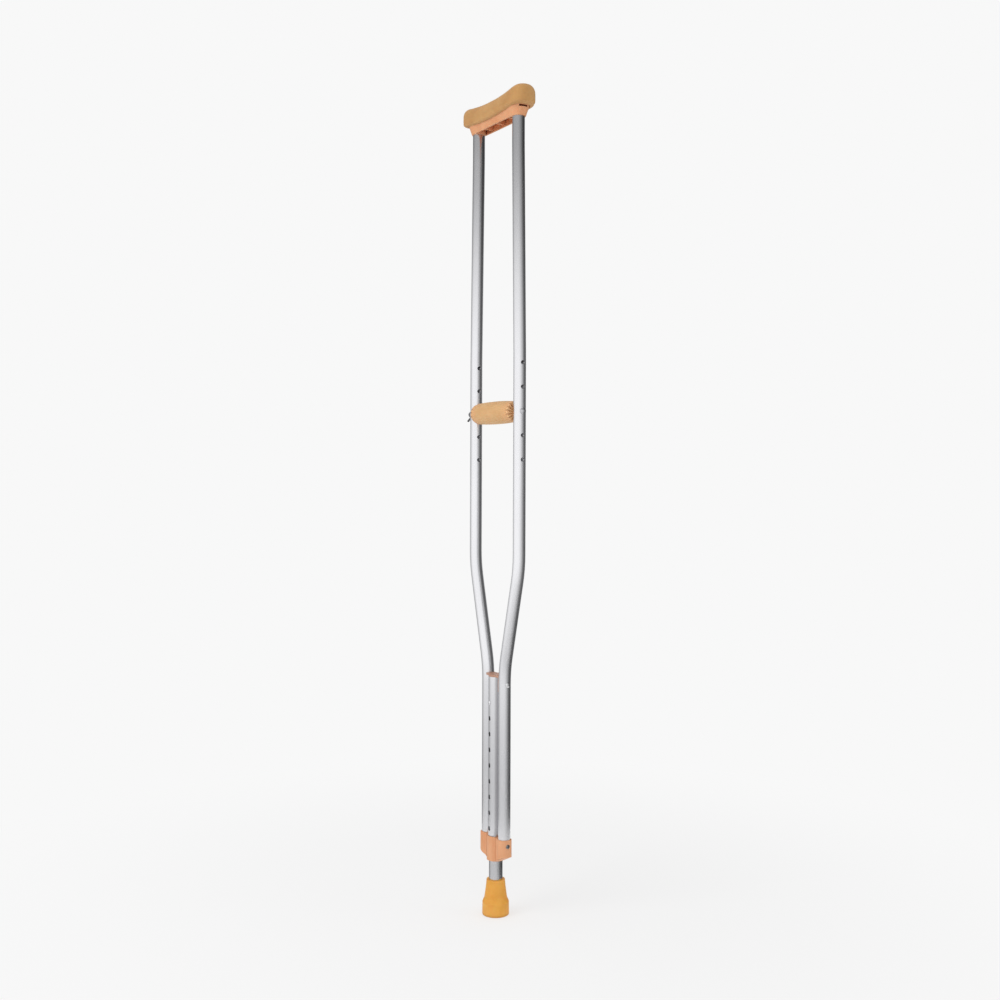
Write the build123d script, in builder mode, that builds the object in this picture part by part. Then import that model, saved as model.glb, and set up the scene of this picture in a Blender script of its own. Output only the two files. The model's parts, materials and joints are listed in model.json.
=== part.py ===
from build123d import *
import os
from math import cos, radians, sin, sqrt

os.makedirs("parts", exist_ok=True)

# Underarm crutch in millimetres, at its shortest setting. Floor at z = 0, the leg's axis is the
# z axis, the two bent uprights stand left and right along x, and the user's arm passes along y.

# Clearances
slide_fit = 0.1          # radial play of what slides, turns or is pulled through
seat_fit = 0.05          # radial play of what is fixed in its seat
rest_gap = 0.3           # play between faces that only come to rest

# Aluminium tubes
upright_diameter = 20.0
upright_wall = 1.2
sleeve_diameter = 25.4
sleeve_wall = 1.5
leg_wall = 1.2

# Spacing of the uprights, between centre lines
grip_spacing = 144.6
saddle_spacing = 132.0
foot_spacing = 54.6

# Height steps, from the floor up
ferrule_height = 57.5
bare_leg = 31.0          # between ferrule and collar at the shortest setting
collar_height = 40.0
first_hole_rise = 12.1   # lowest leg hole above the collar
hole_pitch = 25.4
hole_count = 9
sleeve_head = 42.2       # sleeve above its highest hole
low_bend_rise = 14.0     # bends and other heights, each above the one before
bend_rise = 165.0
grip_rise = 248.0
lean_rise = 88.0
saddle_rise = 465.0      # saddle mouth above the hand grip
bend_radius = 160.0
lean_radius = 600.0

# Hand grip holes in the uprights
grip_pitch = 38.1
grip_positions = 5
bolt_diameter = 6.2

# Rubber ferrule and the steel washer inside it
foot_diameter = 43.6
foot_edge = 2.4          # rounding of the sole's rim
foot_band = 21.5
band_taper = 0.3
ferrule_neck_diameter = 29.6
ferrule_middle_diameter = 32.8
ferrule_waist_diameter = 37.2
ferrule_waist_rise = 6.5
ferrule_floor = 10.0
ferrule_lip = 1.8        # rounding of the neck's rim, inside and out
tread_depth = 1.2
tread_width = 2.4
tread_radii = (10.0, 15.5)
cup_radius = 5.0
washer_thickness = 1.5

# Snap button clip in the leg
button_diameter = 7.0
button_proud = 2.0
button_dome = 1.75
clip_width = 8.0
clip_thickness = 0.8
clip_gap = 1.3           # between the clip's legs and the leg tube's bore
clip_length = 46.0
leg_head = 16.0          # leg tube above its button holes

# Collar that ties the uprights to the sleeve
collar_wall = 2.0
collar_web = 18.0
collar_sleeve_seat = 8.0
collar_upright_seat = 19.0
collar_groove = 2.0      # rounding of the grooves between the lobes
collar_boss_diameter = 24.6
collar_boss_rise = 1.0
collar_side_rise = 13.5
collar_edge = 0.8
collar_screw_drop = 9.5

# Spacer on top of the sleeve
spacer_cap = 3.6
spacer_width = 15.0
spacer_cheek_width = 8.0
spacer_cheek = 24.0
spacer_plug = 20.0
rivet_drop = 9.2
rivet_diameter = 5.0
rivet_head_diameter = 8.4
rivet_head_height = 2.8

# Saddle under the arm
saddle_wall = 2.4
saddle_mouth_diameter = 23.2
saddle_top_diameter = 32.0
saddle_belly = 0.8       # how much the mouth's sides swell between the sockets
socket_depth = 10.5
socket_floor = 2.0
saddle_plate = 3.0
plate_length = 172.0
plate_width = 37.0
curve_radius = 600.0     # gentle hollow of the plate and the pad's lip along their length
plate_rise = 12.5        # underside of the plate above the mouth, at mid length
plate_corner = 15.0
rib_count = 3
rib_pitch = 40.0
rib_height = 9.0
window_width = 15.0
driver_play = 1.0        # round each saddle screw's head, in the plate
tube_plug_length = 22.0

# Underarm pad
pad_length = 194.0
pad_width = 43.6
pad_corner = 17.0
pad_lip = 3.0            # pad that wraps below the plate
pad_thickness = 24.0     # pad above the plate
pad_top_radius = 500.0   # deeper hollow of the pad's top
pad_top_fillet = 14.0
pad_lip_fillet = 2.5

# Hand grip
grip_core_diameter = 24.0
grip_flange_diameter = 32.4
grip_flange = 5.0
grip_flange_edge = 3.0
grip_groove_count = 16
grip_groove_depth = 1.2
grip_groove_width = 1.6
grip_end_diameter = 32.6
grip_belly_diameter = 37.2

# Fasteners
head_rim = 0.3           # upright rim of a domed head, as a share of its height
bolt_head_diameter = 10.4
bolt_head_height = 3.6
bolt_end = 2.5           # bolt beyond the wing nut's hub
grip_washer_diameter = 13.0
grip_washer_thickness = 1.5
nut_hub_height = 7.5
nut_hub_diameter = 12.0
nut_hub_taper = 1.5
nut_wing_reach = 12.5
nut_wing_height = 11.5
nut_wing_thickness = 2.6
nut_wing_root = 1.5      # between the nut's face and the wings, and inside the hub's side
nut_wing_tip = 3.0       # width of each wing's rounded tip
nut_wing_angle = 72.0    # wings below the level line, as the nut was left
screw_diameter = 4.0
screw_length = 12.0
screw_head_diameter = 6.6
screw_head_height = 2.2

# Sizes that follow
upright_radius = upright_diameter / 2
sleeve_radius = sleeve_diameter / 2
leg_radius = sleeve_radius - sleeve_wall - slide_fit
leg_bore = leg_radius - leg_wall
bolt_radius = bolt_diameter / 2
screw_radius = screw_diameter / 2
rivet_radius = rivet_diameter / 2
button_radius = button_diameter / 2
clip_face = leg_bore - clip_gap
foot_half, grip_half, saddle_half = foot_spacing / 2, grip_spacing / 2, saddle_spacing / 2

leg_bottom = ferrule_floor + washer_thickness
collar_bottom = ferrule_height + bare_leg
collar_top = collar_bottom + collar_height
sleeve_bottom = collar_bottom + collar_sleeve_seat
upright_bottom = collar_bottom + collar_upright_seat
hole_heights = [collar_top + first_hole_rise + i * hole_pitch for i in range(hole_count)]
button_height = hole_heights[-1]
leg_top = button_height + leg_head
sleeve_top = button_height + sleeve_head
rivet_height = sleeve_top - rivet_drop
collar_screw_height = collar_top - collar_screw_drop
low_bend = sleeve_top + low_bend_rise
high_bend = low_bend + bend_rise
grip_height = high_bend + grip_rise
lean_height = grip_height + lean_rise
saddle_mouth = grip_height + saddle_rise
upright_top = saddle_mouth + socket_depth
socket_top = upright_top + socket_floor
straight_top = saddle_mouth - 2 * upright_diameter
plate_bottom = saddle_mouth + plate_rise
plate_top = plate_bottom + saddle_plate
grip_heights = [grip_height + (i - (grip_positions - 1) / 2) * grip_pitch for i in range(grip_positions)]

sides = {"left": -1, "right": 1}


def keep(builder, name):
    """Names the finished piece and writes it to its own file."""
    builder.part.label = name
    export_step(builder.part, f"parts/{name}.step")


def disc(height, radius, *places):
    """Sketch of equal circles on the level plane at a height."""
    with BuildSketch(Plane.XY.offset(height)) as circles:
        with Locations(*(places or ((0, 0),))):
            Circle(radius)
    return circles.sketch


def dome(rim, radius, height):
    """Arc of a domed head in the (along, out) plane, from its rim's top to its crown."""
    bulge = ((height - rim) ** 2 + radius**2) / (2 * (height - rim))
    centre = height - bulge
    middle = (height + rim) / 2
    ThreePointArc((rim, radius), (middle, sqrt(bulge**2 - (middle - centre) ** 2)), (height, 0))


def domed_pin(foot, direction, shank_radius, shank_length, head_radius, head_height):
    """Screw, rivet or bolt turned about its axis, its head's flat underside at foot."""
    plane = Plane(origin=foot, x_dir=direction, z_dir=(0, 1, 0))
    rim = head_height * head_rim
    with BuildPart() as pin:
        with BuildSketch(plane):
            with BuildLine():
                Polyline(
                    (head_height, 0), (-shank_length, 0), (-shank_length, shank_radius),
                    (0, shank_radius), (0, head_radius), (rim, head_radius),
                )
                dome(rim, head_radius, head_height)
            make_face()
        revolve(axis=Axis(foot, direction))
    return pin


def upright(side):
    """One bent tube, from its seat in the collar to its seat in the saddle."""
    foot, grip, top = side * foot_half, side * grip_half, side * saddle_half
    with BuildPart() as tube:
        with BuildLine(Plane.XZ):
            FilletPolyline(
                (foot, upright_bottom), (foot, low_bend), (grip, high_bend),
                (grip, lean_height), (top, straight_top), (top, upright_top),
                radius=[bend_radius, bend_radius, lean_radius, lean_radius],
            )
        with BuildSketch(Plane.XY.offset(upright_bottom)):
            with Locations((foot, 0)):
                Circle(upright_radius)
                Circle(upright_radius - upright_wall, mode=Mode.SUBTRACT)
        sweep()
        with BuildSketch(Plane.YZ):
            with Locations(*[(0, height) for height in grip_heights]):
                Circle(bolt_radius + slide_fit)
            with Locations((0, rivet_height)):
                Circle(rivet_radius + seat_fit)
        extrude(amount=side * (grip_half + upright_diameter), mode=Mode.SUBTRACT)
        with BuildSketch(Plane.YZ.offset(foot)):
            with Locations((0, collar_screw_height)):
                Circle(screw_radius + seat_fit)
        extrude(amount=side * upright_diameter, mode=Mode.SUBTRACT)
    return tube


for name, side in sides.items():
    keep(upright(side), f"{name}_upright")

# Centre sleeve, with a row of holes front and back that the snap buttons enter
with BuildPart() as leg_sleeve:
    with BuildSketch(Plane.XY.offset(sleeve_bottom)):
        Circle(sleeve_radius)
        Circle(sleeve_radius - sleeve_wall, mode=Mode.SUBTRACT)
    extrude(amount=sleeve_top - sleeve_bottom)
    with BuildSketch(Plane.XZ):
        with Locations(*[(0, height) for height in hole_heights]):
            Circle(button_radius + slide_fit)
    extrude(amount=sleeve_diameter, both=True, mode=Mode.SUBTRACT)
    with BuildSketch(Plane.YZ):
        with Locations((0, rivet_height)):
            Circle(rivet_radius + seat_fit)
    extrude(amount=sleeve_diameter, both=True, mode=Mode.SUBTRACT)
keep(leg_sleeve, "leg_sleeve")

# Leg tube that telescopes in the sleeve, with one pair of holes for the snap buttons
with BuildPart() as leg_tube:
    with BuildSketch(Plane.XY.offset(leg_bottom)):
        Circle(leg_radius)
        Circle(leg_bore, mode=Mode.SUBTRACT)
    extrude(amount=leg_top - leg_bottom)
    with BuildSketch(Plane.XZ):
        with Locations((0, button_height)):
            Circle(button_radius + slide_fit)
    extrude(amount=sleeve_diameter, both=True, mode=Mode.SUBTRACT)
keep(leg_tube, "leg_tube")

# Rubber ferrule turned about the leg, with a cupped, ringed sole and a blind bore
with BuildPart() as ferrule:
    foot_radius, neck_radius = foot_diameter / 2, ferrule_neck_diameter / 2
    waist = foot_band + ferrule_waist_rise
    with BuildSketch(Plane.XZ):
        with BuildLine():
            Polyline(
                (leg_radius, ferrule_height), (leg_radius, ferrule_floor), (0, ferrule_floor), (0, 0),
                (foot_radius, 0), (foot_radius - band_taper, foot_band), (ferrule_waist_diameter / 2, waist),
            )
            ThreePointArc(
                (ferrule_waist_diameter / 2, waist),
                (ferrule_middle_diameter / 2, (waist + ferrule_height) / 2),
                (neck_radius, ferrule_height),
            )
            Line((neck_radius, ferrule_height), (leg_radius, ferrule_height))
        make_face()
        fillet(vertices().sort_by_distance((foot_radius, 0, 0))[0], foot_edge)
        chamfer(vertices().sort_by_distance((leg_radius, 0, ferrule_height))[0], ferrule_lip)
        fillet(vertices().sort_by_distance((neck_radius, 0, ferrule_height))[0], ferrule_lip)
    revolve(axis=Axis.Z)
    with BuildSketch():
        for radius in sorted(tread_radii, reverse=True):
            Circle(radius + tread_width / 2)
            Circle(radius - tread_width / 2, mode=Mode.SUBTRACT)
        Circle(cup_radius)
    extrude(amount=tread_depth, mode=Mode.SUBTRACT)
keep(ferrule, "ferrule")

# Steel washer that keeps the leg from cutting through the ferrule's floor
with BuildPart() as ferrule_washer:
    with BuildSketch(Plane.XY.offset(ferrule_floor)):
        Circle(leg_radius - seat_fit)
        Circle(leg_radius / 3, mode=Mode.SUBTRACT)
    extrude(amount=washer_thickness)
keep(ferrule_washer, "ferrule_washer")

# Spring clip, a strip bent double that pushes the two snap buttons outwards
with BuildPart() as snap_spring:
    bend_centre = button_height + clip_width / 2 - clip_length + clip_face
    with BuildLine(Plane.YZ):
        middle = clip_face - clip_thickness / 2
        Line((middle, button_height + clip_width / 2), (middle, bend_centre))
        ThreePointArc((middle, bend_centre), (0, bend_centre - middle), (-middle, bend_centre))
        Line((-middle, bend_centre), (-middle, button_height + clip_width / 2))
    with BuildSketch(Plane.XY.offset(button_height + clip_width / 2)):
        with Locations((0, middle)):
            Rectangle(clip_width, clip_thickness)
    sweep()
keep(snap_spring, "snap_spring")

# Snap buttons, each a domed steel stud on the clip that stands out through leg and sleeve
for name, side in {"front": -1, "back": 1}.items():
    with BuildPart() as snap_button:
        outer = sleeve_radius + button_proud
        inner = clip_face + seat_fit
        round_start = outer - button_dome
        with BuildSketch(Plane.YZ):
            with BuildLine():
                Polyline(
                    (side * outer, button_height), (side * inner, button_height),
                    (side * inner, button_height + button_radius),
                    (side * round_start, button_height + button_radius),
                )
                bulge = (button_dome**2 + button_radius**2) / (2 * button_dome)
                half_way = (outer + round_start) / 2
                half_out = sqrt(bulge**2 - (half_way - outer + bulge) ** 2)
                ThreePointArc(
                    (side * round_start, button_height + button_radius),
                    (side * half_way, button_height + half_out),
                    (side * outer, button_height),
                )
            make_face()
        revolve(axis=Axis((0, 0, button_height), (0, 1, 0)))
    keep(snap_button, f"snap_button_{name}")

# Collar, a moulded clamp with blind sockets for the uprights and a guide for the leg
collar_lobe = upright_radius + collar_wall
collar_reach = foot_half + collar_lobe
with BuildPart() as leg_collar:
    with BuildSketch(Plane.XY.offset(collar_bottom)):
        Circle(sleeve_radius + collar_wall)
        with Locations((foot_half, 0), (-foot_half, 0)):
            Circle(collar_lobe)
        Rectangle(foot_spacing, collar_web)
        grooves = [v for v in vertices() if abs(v.X) < foot_half and abs(v.Y) > collar_web / 2 - rest_gap]
        fillet(grooves, collar_groove)
    extrude(amount=collar_height)
    # The underside tapers out from the guide boss and rises to the lobes
    with BuildSketch(Plane.XZ):
        with BuildLine():
            Polyline(
                (0, collar_bottom), (collar_boss_diameter / 2, collar_bottom),
                (sleeve_radius + collar_wall, collar_bottom + collar_boss_rise),
                (collar_reach, collar_bottom + collar_side_rise), (collar_reach, collar_top),
                (0, collar_top), (0, collar_bottom),
            )
        make_face()
    revolve(axis=Axis.Z, mode=Mode.INTERSECT)
    fillet(edges().filter_by(Plane.XY).group_by(Axis.Z)[-1], collar_edge)
    for circles in (
        disc(sleeve_bottom, sleeve_radius + seat_fit),
        disc(collar_bottom, leg_radius + slide_fit),
        disc(upright_bottom, upright_radius + seat_fit, (foot_half, 0), (-foot_half, 0)),
    ):
        extrude(circles, amount=collar_height, mode=Mode.SUBTRACT)
    for side in sides.values():
        with BuildSketch(Plane.YZ.offset(side * foot_half)):
            with Locations((0, collar_screw_height)):
                Circle(screw_radius + seat_fit)
        extrude(amount=side * upright_diameter, mode=Mode.SUBTRACT)
keep(leg_collar, "leg_collar")

# Self-tapping screws that hold the uprights in the collar
for name, side in sides.items():
    collar_screw = domed_pin(
        (side * collar_reach, 0, collar_screw_height), (side, 0, 0), screw_radius, screw_length,
        screw_head_diameter / 2, screw_head_height,
    )
    keep(collar_screw, f"collar_screw_{name}")

# Spacer, a moulded cap on the sleeve whose cheeks cradle the uprights
with BuildPart() as top_spacer:
    with BuildSketch(Plane.XY.offset(sleeve_top - spacer_cheek)):
        Rectangle(foot_spacing, spacer_cheek_width)
        Circle(sleeve_radius + seat_fit, mode=Mode.SUBTRACT)
    extrude(amount=spacer_cheek)
    with BuildSketch(Plane.XY.offset(sleeve_top)):
        Circle(sleeve_radius)
        Rectangle(foot_spacing, spacer_width)
    extrude(amount=spacer_cap)
    with BuildSketch(Plane.XY.offset(sleeve_top - spacer_plug)):
        Circle(sleeve_radius - sleeve_wall - seat_fit)
    extrude(amount=spacer_plug)
    uprights = disc(0, upright_radius + seat_fit, (foot_half, 0), (-foot_half, 0))
    extrude(uprights, amount=low_bend, mode=Mode.SUBTRACT)
    with BuildSketch(Plane.YZ):
        with Locations((0, rivet_height)):
            Circle(rivet_radius + seat_fit)
    extrude(amount=foot_spacing, both=True, mode=Mode.SUBTRACT)
keep(top_spacer, "top_spacer")

# Long rivet through both uprights, the spacer and the sleeve
with BuildPart() as top_rivet:
    rivet_reach = foot_half + upright_radius
    for side in sides.values():
        rivet_half = domed_pin(
            (side * rivet_reach, 0, rivet_height), (side, 0, 0), rivet_radius, rivet_reach,
            rivet_head_diameter / 2, rivet_head_height,
        )
        add(rivet_half.part)
keep(top_rivet, "top_rivet")


def curved_slab(low, high, length, width, corner, top_radius=curve_radius):
    """Slab with round corners between two gently hollowed faces at these mid-length heights."""
    half = length / 2
    with BuildPart() as slab:
        with BuildSketch(Plane.XZ):
            with BuildLine():
                low_end = low + curve_radius - sqrt(curve_radius**2 - half**2)
                high_end = high + top_radius - sqrt(top_radius**2 - half**2)
                ThreePointArc((-half, low_end), (0, low), (half, low_end))
                Line((half, low_end), (half, high_end))
                ThreePointArc((half, high_end), (0, high), (-half, high_end))
                Line((-half, high_end), (-half, low_end))
            make_face()
        extrude(amount=width / 2, both=True)
        fillet(edges().filter_by(Axis.Z), corner)
    return slab.part


def skirt(inset):
    """The saddle's flaring skirt up to the underside of its plate, drawn in by inset."""
    mouth, top = saddle_mouth_diameter / 2 - inset, saddle_top_diameter / 2 - inset
    height = plate_rise + 2 * saddle_plate
    flare = (top - mouth) / plate_rise
    with BuildPart() as shell:
        for level, end, belly in (
            (saddle_mouth, mouth, saddle_belly),
            (saddle_mouth + height, mouth + flare * height, saddle_belly / 4),
        ):
            with BuildSketch(Plane.XY.offset(level)):
                with BuildLine():
                    ThreePointArc((-saddle_half, end), (0, end + belly), (saddle_half, end))
                    ThreePointArc((saddle_half, end), (saddle_half + end, 0), (saddle_half, -end))
                    ThreePointArc((saddle_half, -end), (0, -end - belly), (-saddle_half, -end))
                    ThreePointArc((-saddle_half, -end), (-saddle_half - end, 0), (-saddle_half, end))
                make_face()
        loft(ruled=True)
        below = saddle_mouth - plate_rise
        add(curved_slab(below, plate_bottom, plate_length, plate_width, plate_corner), mode=Mode.INTERSECT)
    return shell.part


# Saddle, a moulded channel with a socket at each end and a plate that carries the pad
with BuildPart() as saddle:
    add(skirt(0))
    add(skirt(saddle_wall), mode=Mode.SUBTRACT)
    for x in (-saddle_half, saddle_half):
        boss = disc(saddle_mouth, saddle_mouth_diameter / 2 - seat_fit, (x, 0))
        extrude(boss, amount=socket_depth + socket_floor)
    for i in range(rib_count):
        with BuildSketch(Plane.YZ.offset((i - (rib_count - 1) / 2) * rib_pitch)):
            with Locations((0, plate_bottom - rib_height)):
                Rectangle(saddle_mouth_diameter, rib_height + saddle_plate, align=(Align.CENTER, Align.MIN))
        extrude(amount=saddle_wall / 2, both=True)
    add(curved_slab(plate_bottom, plate_top, plate_length, plate_width, plate_corner))
    # Bores for the uprights, screws and driver, and a window over each socket's floor
    for side in sides.values():
        place = (side * saddle_half, 0)
        extrude(disc(saddle_mouth, upright_radius + seat_fit, place), amount=socket_depth, mode=Mode.SUBTRACT)
        extrude(disc(upright_top, screw_radius + seat_fit, place), amount=socket_floor, mode=Mode.SUBTRACT)
        driver_hole = disc(socket_top, screw_head_diameter / 2 + driver_play, place)
        extrude(driver_hole, amount=plate_rise, mode=Mode.SUBTRACT)
        with BuildSketch(Plane.YZ.offset(side * saddle_half)):
            with Locations((0, socket_top)):
                Rectangle(window_width, saddle_plate, align=(Align.CENTER, Align.MIN))
        extrude(amount=side * saddle_top_diameter, mode=Mode.SUBTRACT)
keep(saddle, "underarm_saddle")

# Plugs in the uprights' upper ends, and the screws that hold the saddle down on them
for name, side in sides.items():
    with BuildPart() as tube_plug:
        with BuildSketch(Plane.XY.offset(upright_top - tube_plug_length)):
            with Locations((side * saddle_half, 0)):
                Circle(upright_radius - upright_wall - seat_fit)
        extrude(amount=tube_plug_length)
        with BuildSketch(Plane.XY.offset(upright_top - tube_plug_length)):
            with Locations((side * saddle_half, 0)):
                Circle(screw_radius + seat_fit)
        extrude(amount=tube_plug_length, mode=Mode.SUBTRACT)
    keep(tube_plug, f"tube_plug_{name}")
    saddle_screw = domed_pin(
        (side * saddle_half, 0, socket_top), (0, 0, 1), screw_radius,
        screw_length + socket_floor, screw_head_diameter / 2, screw_head_height,
    )
    keep(saddle_screw, f"saddle_screw_{name}")

# Underarm pad, a soft moulding that wraps round the saddle's plate
with BuildPart() as underarm_pad:
    pad_bottom, pad_top = plate_bottom - pad_lip, plate_top + pad_thickness
    add(curved_slab(pad_bottom, pad_top, pad_length, pad_width, pad_corner, pad_top_radius))
    fillet(faces().sort_by(Axis.Z)[-1].edges(), pad_top_fillet)
    fillet(faces().sort_by(Axis.Z)[0].edges(), pad_lip_fillet)
    pocket = curved_slab(
        plate_bottom - seat_fit, plate_top + seat_fit, plate_length + 2 * rest_gap,
        plate_width + 2 * rest_gap, plate_corner + rest_gap,
    )
    add(pocket, mode=Mode.SUBTRACT)
    add(skirt(-rest_gap), mode=Mode.SUBTRACT)
keep(underarm_pad, "underarm_pad")

# Hand grip core, a spool with grooved end flanges
grip_length = grip_spacing - upright_diameter - 2 * rest_gap
grip_end = grip_length / 2
core_radius, flange_radius = grip_core_diameter / 2, grip_flange_diameter / 2
grip_plane = Plane(origin=(0, 0, grip_height), x_dir=(1, 0, 0), z_dir=(0, -1, 0))
grip_axis = Axis(grip_plane.origin, grip_plane.x_dir)
with BuildPart() as grip_core:
    bore = bolt_radius + slide_fit
    with BuildSketch(grip_plane):
        with BuildLine():
            Polyline(
                (-grip_end, bore), (grip_end, bore),
                (grip_end, flange_radius), (grip_end - grip_flange, flange_radius),
                (grip_end - grip_flange, core_radius), (grip_flange - grip_end, core_radius),
                (grip_flange - grip_end, flange_radius), (-grip_end, flange_radius), (-grip_end, bore),
            )
        make_face()
        rims = [v for v in vertices() if abs(v.X) > grip_end - slide_fit and v.Z > grip_height + core_radius]
        fillet(rims, grip_flange_edge)
    revolve(axis=grip_axis)
    groove_start, groove_end = core_radius / 2, flange_radius - grip_flange_edge
    for side in sides.values():
        end_face = Plane(origin=(side * grip_end, 0, grip_height), x_dir=(0, 1, 0), z_dir=(side, 0, 0))
        with BuildSketch(end_face):
            with PolarLocations((groove_start + groove_end) / 2, grip_groove_count):
                Rectangle(groove_end - groove_start, grip_groove_width)
        extrude(amount=-grip_groove_depth, mode=Mode.SUBTRACT)
keep(grip_core, "grip_core")

# Hand grip sleeve, a soft barrel between the flanges
with BuildPart() as grip_sleeve:
    reach_x = grip_end - grip_flange - seat_fit
    end_radius, belly_radius = grip_end_diameter / 2, grip_belly_diameter / 2
    with BuildSketch(grip_plane):
        with BuildLine():
            Polyline(
                (reach_x, end_radius), (reach_x, core_radius + seat_fit),
                (-reach_x, core_radius + seat_fit), (-reach_x, end_radius),
            )
            ThreePointArc((-reach_x, end_radius), (0, belly_radius), (reach_x, end_radius))
        make_face()
    revolve(axis=grip_axis)
keep(grip_sleeve, "grip_sleeve")

# Grip bolt, pushed through from the right, then the washer and wing nut on the left
outer_face = grip_half + upright_radius + rest_gap
nut_face = outer_face + grip_washer_thickness + rest_gap
bolt_tip = nut_face + nut_hub_height + bolt_end
grip_bolt = domed_pin(
    (outer_face, 0, grip_height), (1, 0, 0), bolt_radius, outer_face + bolt_tip,
    bolt_head_diameter / 2, bolt_head_height,
)
keep(grip_bolt, "grip_bolt")

with BuildPart() as grip_washer:
    with BuildSketch(Plane.YZ.offset(-outer_face)):
        with Locations((0, grip_height)):
            Circle(grip_washer_diameter / 2)
            Circle(bolt_radius + slide_fit, mode=Mode.SUBTRACT)
    extrude(amount=-grip_washer_thickness)
keep(grip_washer, "grip_washer")

# Wing nut, a turned hub with two blades that flare away from the tube
down = radians(nut_wing_angle)
blade = Plane(origin=(-nut_face, 0, grip_height), x_dir=(-1, 0, 0), z_dir=(0, -sin(down), cos(down)))
with BuildPart() as wing_nut:
    hub_radius = nut_hub_diameter / 2
    with BuildSketch(blade):
        with BuildLine():
            Polyline(
                (0, 0), (0, hub_radius), (nut_hub_height / 3, hub_radius),
                (nut_hub_height, hub_radius - nut_hub_taper), (nut_hub_height, 0), (0, 0),
            )
        make_face()
    revolve(axis=Axis(blade.origin, blade.x_dir))
    with BuildSketch(blade):
        with BuildLine():
            tip_side = nut_wing_height - nut_wing_tip
            tip_round = nut_wing_tip / 2
            Polyline(
                (nut_hub_height - nut_wing_root, hub_radius), (nut_hub_height - nut_wing_root, bolt_radius),
                (nut_wing_root, bolt_radius), (nut_wing_root, hub_radius),
                (tip_side, nut_wing_reach - tip_round),
            )
            ThreePointArc(
                (tip_side, nut_wing_reach - tip_round), (nut_wing_height - tip_round, nut_wing_reach),
                (nut_wing_height, nut_wing_reach - tip_round),
            )
            Line((nut_wing_height, nut_wing_reach - tip_round), (nut_hub_height - nut_wing_root, hub_radius))
        make_face()
        mirror(about=Plane.XZ)
    extrude(amount=nut_wing_thickness / 2, both=True)
    with BuildSketch(Plane.YZ.offset(-nut_face)):
        with Locations((0, grip_height)):
            Circle(bolt_radius + slide_fit)
    extrude(amount=-nut_wing_height, mode=Mode.SUBTRACT)
keep(wing_nut, "wing_nut")
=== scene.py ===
import json
from math import asin, cos, pi, radians, sin, sqrt

import bpy
from mathutils import Matrix, Vector

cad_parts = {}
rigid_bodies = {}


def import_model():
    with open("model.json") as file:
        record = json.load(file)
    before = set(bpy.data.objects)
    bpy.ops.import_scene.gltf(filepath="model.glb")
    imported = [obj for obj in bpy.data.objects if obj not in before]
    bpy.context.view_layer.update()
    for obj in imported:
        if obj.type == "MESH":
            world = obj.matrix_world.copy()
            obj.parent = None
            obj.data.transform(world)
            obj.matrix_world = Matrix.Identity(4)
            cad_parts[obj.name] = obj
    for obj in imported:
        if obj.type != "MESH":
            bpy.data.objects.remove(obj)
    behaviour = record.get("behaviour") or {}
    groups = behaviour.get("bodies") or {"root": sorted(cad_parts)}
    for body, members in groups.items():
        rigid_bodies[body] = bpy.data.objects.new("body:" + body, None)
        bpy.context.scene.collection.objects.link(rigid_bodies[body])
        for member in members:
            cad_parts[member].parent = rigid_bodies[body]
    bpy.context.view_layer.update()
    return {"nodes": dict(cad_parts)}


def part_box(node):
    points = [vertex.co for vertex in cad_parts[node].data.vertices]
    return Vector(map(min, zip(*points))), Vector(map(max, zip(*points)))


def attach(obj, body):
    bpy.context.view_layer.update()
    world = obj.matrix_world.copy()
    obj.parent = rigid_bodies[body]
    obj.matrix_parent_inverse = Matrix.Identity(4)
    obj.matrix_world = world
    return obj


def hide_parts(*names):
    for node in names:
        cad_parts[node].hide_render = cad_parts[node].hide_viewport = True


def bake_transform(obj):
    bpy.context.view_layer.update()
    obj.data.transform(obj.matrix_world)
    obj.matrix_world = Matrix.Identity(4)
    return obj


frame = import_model()
nodes = frame["nodes"]

# The view. The camera stands level at about the hand grip's height, turned from the crutch's
# open front towards its right upright. The horizon lies a little above the frame's middle, so
# the lens is shifted by that much instead of the camera being tipped.
view_turn, view_roll = radians(61), radians(0.19)
view_distance, view_height = 2.05, 0.7235
frame_pixels, focal_pixels = 1000, 1263.4
crutch_axis_x, horizon_y = 497.1, 468.0
bpy.ops.object.camera_add(
    location=(view_distance * sin(view_turn), -view_distance * cos(view_turn), view_height),
    rotation=(pi / 2, 0, view_turn),
)
camera = bpy.context.object
camera.name = "photo_camera"
camera.matrix_world = camera.matrix_world @ Matrix.Rotation(view_roll, 4, "Z")
camera.data.lens = camera.data.sensor_width * focal_pixels / frame_pixels
camera.data.shift_x = 0.5 - crutch_axis_x / frame_pixels
camera.data.shift_y = horizon_y / frame_pixels - 0.5
bpy.context.scene.camera = camera
bpy.context.scene.view_settings.view_transform = "Standard"


# The tubes: both bent uprights, the perforated centre sleeve and the leg that slides in it. All
# are drawn aluminium, satin anodised, with fine draw lines along them and a few rub marks. The
# CAD solids have the right shape, so they only get their finish.
def paint(red, green, blue):
    """Colour as seen on a screen, from 0 to 255, turned into the linear one that shaders take."""
    seen = [value / 255 for value in (red, green, blue)]
    return (*[v / 12.92 if v < 0.04 else ((v + 0.055) / 1.055) ** 2.4 for v in seen], 1)


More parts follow.
